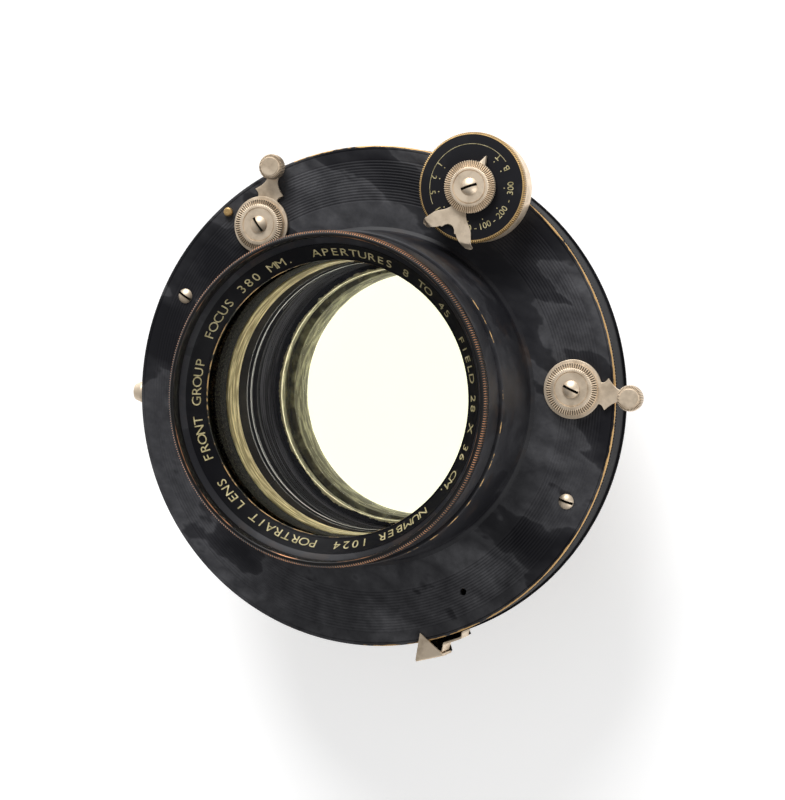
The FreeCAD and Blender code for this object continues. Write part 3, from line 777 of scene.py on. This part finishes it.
def build_rear():
    """Rear cell with its threaded bore and knurled flange, the mounting thread on the case, the
    lock ring and its bezel. A thread is its radius plus a sine of the height over the pitch."""
    low_z, flange = REST_Z, -17.0
    thread = np.linspace(-11.4, -1.4, 80)
    bore_r, bore_depth, bore_pitch = 30.72, 0.1, 1.25
    bore = bore_r + bore_depth * np.sin(thread * 2 * math.pi / bore_pitch)
    bore = np.stack([bore, thread], -1)[::-1]
    shell = rounded([(29.1, low_z), (33.8, low_z), (34.4, low_z + 0.6), (34.4, flange),
                     (38.4, flange), (38.4, -12.05), (34.95, -12.05), (34.95, -1.0),
                     (30.7, -1.0)], 0.15)
    wall = 30.95
    profile = np.concatenate([shell, [(wall, -1.3), (wall, -22.0), (29.1, -22.0)]])
    turned("rear_barrel", profile, material("neck_lacquer"), HOUSING, replaces=("rear_cell",))
    liner = np.concatenate([[(wall, -21.9), (wall + 0.05, -1.2), (30.7, -1.2)], bore,
                            [(30.62, -11.8), (30.62, -21.9)]])
    turned("rear_bore", liner, material("lathe_black"), HOUSING)
    mouth = rounded([(28.6, low_z), (29.15, low_z), (29.15, -22.1), (30.6, -22.1), (30.6, -21.95),
                     (29.0, -21.95), (28.6, -26.0)], 0.05)
    turned("rear_mouth", mouth, material("tarnished_metal"), HOUSING)
    knurl = [(38.38, flange + 0.3, 0, 0), (38.4, flange + 0.8, 0.3, 0), (38.4, -12.9, 0.3, 0),
             (38.38, -12.4, 0, 0), (37.2, -12.4, 0, 0), (37.2, flange + 0.3, 0, 0)]
    knurl_teeth = 240
    turned("rear_knurl", knurl, material("neck_lacquer"), HOUSING, steps=knurl_teeth * 4,
           teeth=knurl_teeth)
    z = np.linspace(-11.6, -0.4, 113)
    mount_r, mount_depth, mount_pitch = 39.72, 0.22, 1.0
    thread = mount_r - mount_depth * np.cos(z * 2 * math.pi / mount_pitch)
    sleeve = np.concatenate([[(39.4, -12.0)], np.stack([thread, z], -1),
                             [(39.9, 0.0), (40.95, 0.02), (40.95, 1.6), (35.05, 1.6), (35.05, -12.0)]])
    turned("rear_thread", sleeve, material("turned_brass"), HOUSING, replaces=("mount_sleeve",))
    lock_top = high("rear_lock_ring")[2]
    lock = rounded([(30.55, -14.5), (30.55, lock_top), (29.0, lock_top), (29.0, -14.5)], 0.2)

    def chipped(r, z, wave, bearing):
        return np.exp(-(((r - 29.0) ** 2 + (z - lock_top) ** 2) / 0.4 ** 2))
    turned("rear_lock", lock, material("chipped_lacquer"), HOUSING, steps=720,
           replaces=("rear_lock_ring",), wear=chipped)
    bezel = rounded([(29.3, -14.45), (29.3, lock_top - 0.5), (28.95, lock_top - 0.5),
                     (28.95, -14.45)], 0.1)
    turned("rear_lock_bore", bezel, material("tarnished_metal"), HOUSING)


# ---- controls -----------------------------------------------------------------------
BIG_SCREW_R = 1.95


def screw_head(name, radius, centre, top, slot_bearing, replaces=()):
    """Domed head, part of a ball whose radius is the head's radius squared plus its height
    squared, over twice the height, with a sawn slot along a bearing."""
    height, slot_half, slot_depth, foot = 0.9, 0.3, 0.62, 0.1
    r = np.linspace(0, radius, 14)
    ball = (radius ** 2 + height ** 2) / (2 * height)
    dome = top - ball + np.sqrt(ball ** 2 - r ** 2)
    profile = np.concatenate([np.stack([r, dome], -1), [(radius, top - height - foot),
                                                        (0, top - height - foot)]])
    head = turned(name, profile, material("satin_nickel"), HOUSING, centre, 96,
                  replaces=replaces)
    carve(head, box_cutter(centre, slot_bearing, slot_half, radius * 1.2, top - slot_depth, top + 1))
    # A matt black block fills the slot below the cut: painted shade at the bottom of the slot.
    inner = box_cutter(centre, slot_bearing, slot_half - 0.005, radius * 0.96, top - height,
                       top - slot_depth + 0.02)
    inner.name = name + "_slot"
    finish(inner, material("flat_black"), HOUSING)


def build_cover_screws():
    """The two screws of the cover, on one circle."""
    top = high("cover_screws")[2]
    circle_r, head_r = 51.4, 1.72
    for i, (bearing, slot) in enumerate(((-91.0, 97.0), (88.8, 80.0))):
        screw_head("cover_screw_%d" % (i + 1), head_r, around(circle_r, bearing), top, slot,
                   ("cover_screws",) if i == 0 else ())


def build_lever(kind, hinge, slot_bearing):
    """Lever: flange, arm, fluted cap, slotted screw and knob. The arm's half width runs straight
    to two cusps, then falls to the waist with the power 1.8 of the way that is left."""
    body = kind + "_lever"
    centre = hinge_place(hinge)[:2]
    knob = middle(kind + "_knob")[:2] - centre
    arm_bearing = math.degrees(math.atan2(knob[0], knob[1]))
    reach = float(np.hypot(*knob))
    low_z = low(body)[2]
    nickel = material("satin_nickel")
    flange = rounded([(1.6, low_z), (6.6, low_z), (6.6, low_z + 0.7), (1.6, low_z + 0.7)], 0.12)
    turned(kind + "_flange", flange, nickel, body, centre, 180, replaces=(body,))
    # Distances along the arm, from its hinge.
    root, cusp, hollow_start, waist = 5.2, 7.65, 7.7, 10.9
    s = np.concatenate([np.linspace(root, cusp, 10), np.linspace(hollow_start, reach, 30)])
    hollow = 1.3 + 2.25 * np.clip((waist - s) / (waist - hollow_start), 0, 1) ** 1.8
    half = np.where(s <= cusp, np.interp(s, [root, 6.7, 7.2, cusp], [2.35, 2.45, 2.8, 3.5]), hollow)
    t = np.linspace(-1, 1, 7)
    x = half[:, None] * t[None, :]
    y = np.broadcast_to(s[:, None], x.shape)
    top = placed(np.stack([x, y, np.full_like(x, low_z + 0.68)], -1), centre, arm_bearing)
    base = placed(np.stack([x, y, np.full_like(x, low_z + 0.02)], -1), centre, arm_bearing)
    slab(kind + "_arm", top, base, nickel, body)
    z0, z1 = low(kind + "_cap")[2], high(kind + "_cap")[2]
    cap = [(1.6, z0, 0, 0), (5.8, z0, 0, 0), (5.8, z0 + 0.9, 0.0, 0), (5.8, z1 - 0.2, 0.06, 0.05),
           (5.72, z1 - 0.05, 0.0, 0.3), (5.6, z1, 0, 0.34), (4.85, z1, 0, 0.3), (4.72, z1, 0, 0.12),
           (4.62, z1, 0, 0), (3.95, z1, 0, 0), (3.86, z1 - 0.18, 0, 0), (3.74, z1 - 0.18, 0, 0),
           (3.65, z1 - 0.06, 0, 0), (1.6, z1 - 0.06, 0, 0)]
    knob_teeth = 48
    turned(kind + "_fluted_cap", cap, nickel, body, centre, sizes().cap_teeth * 12,
           sizes().cap_teeth, (kind + "_cap",), wear="flutes", smooth=50)
    screw_head(kind + "_slotted_screw", BIG_SCREW_R, centre, high(kind + "_screw")[2],
               slot_bearing, (kind + "_screw",))
    k0, k1 = low(kind + "_knob")[2], high(kind + "_knob")[2]
    knob_profile = [(0, k0, 0, 0), (1.5, k0, 0, 0), (1.6, k0 + 0.5, 0, 0), (2.6, k0 + 0.7, 0, 0),
                    (2.88, k0 + 1.0, 0.16, 0), (2.9, k0 + 1.8, 0.2, 0), (2.9, k1 - 0.6, 0.2, 0),
                    (2.82, k1 - 0.25, 0.16, 0.06), (2.62, k1 - 0.08, 0.02, 0.2),
                    (2.3, k1 - 0.06, 0, 0.2), (2.2, k1 - 0.12, 0, 0), (2.1, k1 - 0.12, 0, 0),
                    (2.0, k1, 0, 0), (0, k1, 0, 0)]
    turned(kind + "_knurled_knob", knob_profile, nickel, body, middle(kind + "_knob")[:2],
           knob_teeth * 10, knob_teeth, (kind + "_knob",), wear="flutes", smooth=50)


def build_dial():
    """Speed dial: nickel drum, fluted brass edge, black face, engraved circle and numerals."""
    centre = hinge_place("dial_turn")[:2]
    top, bottom = DIAL_TOP, low("speed_dial")[2]
    drum_low, drum_top = low("dial_drum")[2], high("dial_drum")[2]
    edge_r, cut, teeth = 12.3, 0.22, sizes().dial_teeth
    drum_r = edge_r - 0.4
    drum = rounded([(1.6, drum_low), (drum_r - 0.1, drum_low), (drum_r, drum_low + 0.4),
                    (drum_r, drum_top - 0.3), (drum_r - 0.3, drum_top), (1.6, drum_top)], 0.2)
    turned("dial_drum_nickel", drum, material("satin_nickel"), HOUSING, centre,
           replaces=("dial_drum",))
    rim = [(11.5, bottom, 0, 0), (edge_r - 0.3, bottom, 0, 0), (edge_r, bottom + 0.2, cut, 0),
           (edge_r, top - 0.45, cut, 0), (edge_r - 0.08, top - 0.15, cut, 0.1),
           (edge_r - 0.25, top, 0.05, 0.24), (edge_r - 0.42, top, 0, 0.1), (edge_r - 0.5, top, 0, 0),
           (11.6, top - 0.02, 0, 0), (11.5, top - 0.1, 0, 0)]
    turned("dial_knurled_edge", rim, material("turned_brass"), "speed_dial", centre,
           teeth * 8, teeth, wear="flutes", smooth=60)
    face = rounded([(1.6, bottom + 0.05), (11.75, bottom + 0.05), (11.75, top - 0.01),
                    (1.6, top - 0.01)], 0.05)
    turned("dial_face", face, material("dial_lacquer"), "speed_dial", centre, 240,
           replaces=("speed_dial",))
    line_r, line_half = 9.6, 0.07
    first, last = 220, 388
    arc_slab("dial_engraved_circle", line_r - line_half, line_r + line_half, top - 0.1, top + 0.01,
             first, last, material("letter_paint"), "speed_dial", centre=centre, steps=120)
    # Numerals and their bearings; a dot stands under each and a dash between the fast ones.
    marks = [("T", 16), ("B", 36), ("300", 65), ("200", 101), ("100", 132), ("50", 158), ("25", 181),
             ("10", 208), ("5", 236), ("2", 258), ("1", 278)]
    radius, height = 8.95, 1.45

    def on_dial(p):
        """Feet towards the edge: x runs anticlockwise round the dial and y towards its centre."""
        r = radius - p[:, 1]
        bearing = -p[:, 0] / radius
        return np.stack([centre[0] + r * np.sin(bearing), centre[1] + r * np.cos(bearing),
                         top - 0.01 + p[:, 2]], -1)
    items = [(text, -math.radians(b) * radius, -height / 2, height) for text, b in marks]
    dot_y, dot_size = 1.25, height * 1.3
    items += [(".", -math.radians(b) * radius, dot_y, dot_size) for _, b in marks]
    dashes = (83, 117, 146, 170)
    items += [("-", -math.radians(b) * radius, -height / 2, height) for b in dashes]
    letters("dial_numerals", items, on_dial, "letter_paint", "speed_dial", 0.0)


def build_index():
    """Fishtail index, its small point, the fluted hub and the screw, all fixed. The tail is drawn
    in distance and angle from the hub; the angle is squeezed towards the waist by a smooth step."""
    centre = hinge_place("dial_turn")[:2]
    bearing = 1.0
    z0, z1 = low("index_plate")[2], high("index_plate")[2]
    nickel = material("satin_nickel")
    # Outer edge of the tail against the angle from its middle: an arch between two prongs.
    angle = np.linspace(-29, 29, 59)
    outer = np.interp(np.abs(angle), [0, 4, 7, 9, 10.5, 13, 18, 22, 27, 29],
                      [9.4, 9.55, 10.1, 11.0, 10.85, 11.6, 12.7, 13.6, 13.8, 13.4])
    t = np.linspace(0, 1, 33)
    inner = 4.6
    rho = inner + (outer[:, None] - inner) * t[None, :]
    squeeze = 0.62 + 0.38 * smoothstep(5.5, 10.2, rho)
    a = np.radians(angle[:, None] * squeeze)
    x, y = rho * np.sin(a), -rho * np.cos(a)
    drop = 1.7 * smoothstep(12.5, 13.6, rho)
    top = placed(np.stack([x, y, z1 - drop], -1), centre, bearing)
    base = placed(np.stack([x, y, z0 - drop], -1), centre, bearing)
    slab("index_fishtail", top, base, nickel, HOUSING, ("index_plate",), smooth=40)
    u, v = np.meshgrid(np.linspace(-1, 1, 9), np.linspace(0, 1, 9), indexing="ij")
    px, py = u * (1 - v), 5.0 + 2.7 * v
    ridge = 0.35 * (1 - np.abs(u)) * (1 - v) + 0.55
    top = placed(np.stack([px, py, z1 + ridge], -1), centre, bearing)
    base = placed(np.stack([px, py, np.full_like(ridge, z0)], -1), centre, bearing)
    slab("index_point", top, base, nickel, HOUSING, bevel=0)
    h0, h1 = low("index_hub")[2], high("index_hub")[2]
    hub = [(1.6, h0, 0, 0), (5.8, h0, 0, 0), (5.85, h0 + 0.3, 0.06, 0), (5.85, h1 - 0.2, 0.08, 0.05),
           (5.78, h1 - 0.05, 0.0, 0.3), (5.65, h1, 0, 0.34), (4.5, h1, 0, 0.3), (4.38, h1, 0, 0.12),
           (4.3, h1, 0, 0), (3.82, h1, 0, 0), (3.74, h1 - 0.22, 0, 0), (3.6, h1 - 0.22, 0, 0),
           (3.52, h1, 0, 0), (2.2, h1 - 0.03, 0, 0), (1.6, h1 - 0.03, 0, 0)]
    hub_teeth = 70
    turned("index_fluted_hub", hub, material("hub_nickel"), HOUSING, centre, hub_teeth * 12,
           hub_teeth, ("index_hub",), wear="flutes", smooth=50)
    screw_head("dial_slotted_screw", BIG_SCREW_R, centre, high("dial_screw")[2], 45.0,
               ("dial_screw",))


def build_pointer():
    """Aperture pointer: an arrow over the cover, folded down the side, and a skirt beside it. Its
    outer face follows a path of radius and height; the inner one lies a thickness inside it."""
    bearing = 138.5
    z_top = high("aperture_pointer")[2]
    z_low = low("aperture_pointer")[2]
    tip, fold, bend, thick = 55.0, 61.15, 0.5, 0.55
    nickel = material("satin_nickel")
    # Path of the outer face: out over the cover, round a small bend, down the side.
    flat = np.linspace(tip, fold - bend, 20)
    turn = np.linspace(0, math.pi / 2, 8)[1:]
    down = np.linspace(z_top - bend, z_low, 8)[1:]
    r = np.concatenate([flat, fold - bend + bend * np.sin(turn), np.full(7, fold)])
    z = np.concatenate([np.full(20, z_top), z_top - bend + bend * np.cos(turn), down])
    nr = np.concatenate([np.zeros(20), np.sin(turn), np.ones(7)])
    nz = np.concatenate([np.ones(20), np.cos(turn), np.zeros(7)])
    wide = 3.3
    half = np.concatenate([np.linspace(0.05, wide, 20), np.full(7, wide), np.linspace(wide, 3.1, 7)])
    lean = np.concatenate([np.linspace(0.8, 0.0, 20), np.zeros(14)])
    t = np.linspace(-1, 1, 9)
    x = lean[:, None] + half[:, None] * t[None, :]

    def sheet(offset):
        rr = np.broadcast_to((r - nr * offset)[:, None], x.shape)
        zz = np.broadcast_to((z - nz * offset)[:, None], x.shape)
        return placed(np.stack([x, rr, zz], -1), (0, 0), bearing)
    slab("pointer_arrow", sheet(0), sheet(thick), nickel, "iris_ring", ("aperture_pointer",))
    b = np.linspace(-8.6, -2.5, 32)
    sweep = 58.3 + 1.7 * smoothstep(-3.7, -2.5, b) - 1.0 * smoothstep(-7.8, -8.6, b)
    zz = np.linspace(z_low, 9.8, 6)
    ang = np.radians(bearing + b)[:, None]
    faces = [np.stack(np.broadcast_arrays((sweep[:, None] + d) * np.sin(ang),
                                          (sweep[:, None] + d) * np.cos(ang), zz[None, :]), -1)
             for d in (0.5, 0.0)]
    slab("pointer_skirt", faces[0], faces[1], nickel, "iris_ring")
    dark = material("flat_black")
    # Matt black parts that carry the arrow and the skirt through the slot of the case; the shelf under the
    # skirt is black as painted shade, so that the gap between the skirt and the cover's edge shows dark.
    under, over = 3.65, 4.15
    arc_slab("pointer_tongue", tip, 60.9, under, over, bearing - 3.2, bearing + 3.2, dark,
             "iris_ring")
    arc_slab("pointer_shelf", 57.2, 58.6, under, over, bearing - 8.5, bearing - 2.5, dark,
             "iris_ring")


def build_small_parts():
    """Stop pin, and the cable socket, turned along the plunger's own axis."""
    pin = middle("stop_pin")[:2]
    p1 = high("stop_pin")[2]
    profile = rounded([(0, PLATE_TOP), (1.0, PLATE_TOP), (1.05, p1 - 0.3), (0.85, p1), (0, p1)], 0.12)
    turned("stop_pin_head", profile, material("turned_brass"), HOUSING, pin, 48,
           replaces=("stop_pin",))
    way = next(np.array(j["axis"]) for j in frame["joints"] if j["name"] == "plunger_push") * -1
    side = np.array([-way[1], way[0], 0.0])
    origin = np.array([0, 0, middle("cable_socket")[2]])
    tip = 60.4
    nose = rounded([(0.85, 55.3), (2.6, 55.3), (2.6, 57.05), (2.7, 57.05), (2.7, 58.4), (1.9, tip),
                    (1.5, tip), (1.5, 55.9), (0.85, 55.9)], 0.12)
    turned("cable_release_nose", nose, material("satin_nickel"), HOUSING, steps=96,
           replaces=("cable_socket",), axes=(origin, side, np.array([0, 0, 1.0]), way))


CAD_FINISHES = {
    "cover_pillars": "turned_brass", "shutter_plate": "blued_steel", "iris_pivots": "turned_brass",
    "shutter_pivots": "turned_brass", "iris_ring": "flat_black", "blade_ring": "turned_brass",
    "dial_post": "turned_brass", "cocking_post": "turned_brass", "release_post": "turned_brass",
    "cable_plunger": "turned_brass",
}


def build_mechanism():
    """Inner pieces keep their shape and take their finish."""
    for node, obj in frame["nodes"].items():
        finish_name = "blued_steel" if "_blade_" in node else CAD_FINISHES.get(node)
        if finish_name:
            for slot in range(len(obj.data.materials)):
                obj.data.materials[slot] = material(finish_name)


# ---- stage --------------------------------------------------------------------------
# The camera looks down at the lens from a direction, and is rolled about its own line of sight.
CAMERA_PLACE = (142.14, 87.52, 500.28)     # millimetres
CAMERA_LENS = 101.97                       # millimetres on a 36 mm sensor
CAMERA_AZIMUTH = 32.022                     # degrees from +X of the line back to the camera
CAMERA_ELEVATION = 71.734                   # degrees above the floor
CAMERA_ROLL = -93.919
FLOOR_HALF = 3000.0


def stage_sheet(name, corners, made):
    """Flat sheet of the stage, from corners in millimetres."""
    mesh = bpy.data.meshes.new(name)
    mesh.from_pydata(np.array(corners) * MM, [], [list(range(len(corners)))])
    mesh.materials.append(made)
    obj = bpy.data.objects.new(name, mesh)
    bpy.context.scene.collection.objects.link(obj)
    return obj


def area_light(name, place, aim, size, power, colour=(1, 1, 1)):
    """Round soft lamp in metres and watts; it is not seen itself, only its light."""
    lamp = bpy.data.lights.new(name, "AREA")
    lamp.shape, lamp.size, lamp.energy, lamp.color = "DISK", size, power, colour
    obj = bpy.data.objects.new(name, lamp)
    bpy.context.scene.collection.objects.link(obj)
    obj.location = place
    obj.rotation_euler = (Vector(aim) - Vector(place)).to_track_quat("-Z", "Y").to_euler()
    obj.visible_transmission = obj.visible_camera = False
    return obj


def build_stage():
    """White floor, lit pad under the lens, three soft lamps, an even sky and the camera."""
    f, pad_r = FLOOR_HALF, 28.4
    stage_sheet("floor", [(-f, -f, REST_Z), (f, -f, REST_Z), (f, f, REST_Z), (-f, f, REST_Z)],
                light_surface("white_acrylic", (1, 1, 1, 1), 0.35))
    angle = np.linspace(0, 2 * math.pi, 64, endpoint=False)
    pad = np.column_stack([pad_r * np.cos(angle), pad_r * np.sin(angle), np.full(64, REST_Z + 0.4)])
    stage_sheet("light_pad", pad, light_surface("light_table", (1.0, 1.0, 1.0, 1), 1.2))
    world = bpy.data.worlds.new("studio")
    bpy.context.scene.world = world
    world.use_nodes = True
    background = world.node_tree.nodes["Background"]
    background.inputs["Color"].default_value = (1, 1, 1, 1)
    background.inputs["Strength"].default_value = 0.36
    area_light("key", (-0.62, 0.86, 0.62), (0, 0, 0), 0.7, 17)
    area_light("fill", (0.95, -0.1, 0.6), (0, 0, 0), 0.9, 5)
    # Light of the table that comes up through the rear glass.
    area_light("barrel_glow", (0, 0, -14.2 * MM), (0, 0, 0.1), 0.052, 0.034, (1.0, 0.98, 0.92))
    camera = bpy.data.cameras.new("camera")
    camera.lens, camera.sensor_width = CAMERA_LENS, 36.0
    obj = bpy.data.objects.new("camera", camera)
    bpy.context.scene.collection.objects.link(obj)
    turn = Matrix.Translation(Vector(CAMERA_PLACE) * MM)
    for degrees, axis in ((CAMERA_AZIMUTH + 90, "Z"), (90 - CAMERA_ELEVATION, "X"), (CAMERA_ROLL, "Z")):
        turn = turn @ Matrix.Rotation(math.radians(degrees), 4, axis)
    obj.matrix_world = turn
    bpy.context.scene.camera = obj
    bpy.context.scene.view_settings.view_transform = "Standard"


# ---- add-on -------------------------------------------------------------------------
def operator(idname, label, text, *steps):
    """Operator class that runs building steps in order."""
    def execute(self, context):
        for step in steps:
            step()
        return {"FINISHED"}
    return type("LENS_OT_" + idname, (bpy.types.Operator,),
                {"bl_idname": "lens." + idname, "bl_label": label, "__doc__": text,
                 "execute": execute})


OPERATORS = (
    operator("cover", "Cover", "Grooved cover plate and its milled edge", build_cover),
    operator("case", "Case", "Shutter case with the pointer's slot", build_case),
    operator("barrel", "Barrel", "Neck, front cell and knurled rim", build_neck, build_front_cell),
    operator("name_ring", "Name ring", "Conical ring with lettering", build_name_ring),
    operator("optics", "Optics", "Glass groups, spacer and lock ring", build_optics),
    operator("rear", "Rear", "Rear cell, mounting thread and lock ring", build_rear),
    operator("dial", "Speed dial", "Drum, dial and numerals", build_dial),
    operator("index", "Index", "Fishtail index, hub and screw", build_index),
    operator("levers", "Levers", "Cocking and release levers",
             lambda: build_lever("cocking", "cocking_swing", 118.0),
             lambda: build_lever("release", "release_swing", 88.0)),
    operator("pointer", "Pointer", "Aperture pointer", build_pointer),
    operator("small_parts", "Small parts", "Screws, pin and cable socket", build_cover_screws,
             build_small_parts),
    operator("mechanism", "Mechanism", "Finishes of the inner pieces", build_mechanism),
    operator("stage", "Stage", "Floor, lights and camera", build_stage),
)


class LENS_PT_panel(bpy.types.Panel):
    """Lists the lens's sizes, colours and building steps."""
    bl_label = "Portrait Lens"
    bl_idname = "LENS_PT_panel"
    bl_space_type = "VIEW_3D"
    bl_region_type = "UI"
    bl_category = "Portrait Lens"

    def draw(self, context):
        """Settings first, then a button for each group."""
        for group in (context.scene.lens_sizes, context.scene.lens_colours):
            for key in group.bl_rna.properties.keys()[2:]:
                self.layout.prop(group, key)
        for made in OPERATORS:
            self.layout.operator(made.bl_idname)


CLASSES = (LensSizes, LensColours, *OPERATORS, LENS_PT_panel)


def register():
    """Adds the classes and the settings."""
    for made in CLASSES:
        bpy.utils.register_class(made)
    bpy.types.Scene.lens_sizes = bpy.props.PointerProperty(type=LensSizes)
    bpy.types.Scene.lens_colours = bpy.props.PointerProperty(type=LensColours)


def unregister():
    """Removes what register() added, in the opposite order."""
    del bpy.types.Scene.lens_colours
    del bpy.types.Scene.lens_sizes
    for made in reversed(CLASSES):
        bpy.utils.unregister_class(made)


def corners(bounds):
    """Two corners as plain lists."""
    return [[float(value) for value in corner] for corner in bounds]


def main():
    """Builds every group through its operator and writes the sizes."""
    register()
    for made in OPERATORS:
        getattr(bpy.ops.lens, made.bl_idname.split(".")[1])()


if __name__ == "__main__":
    main()
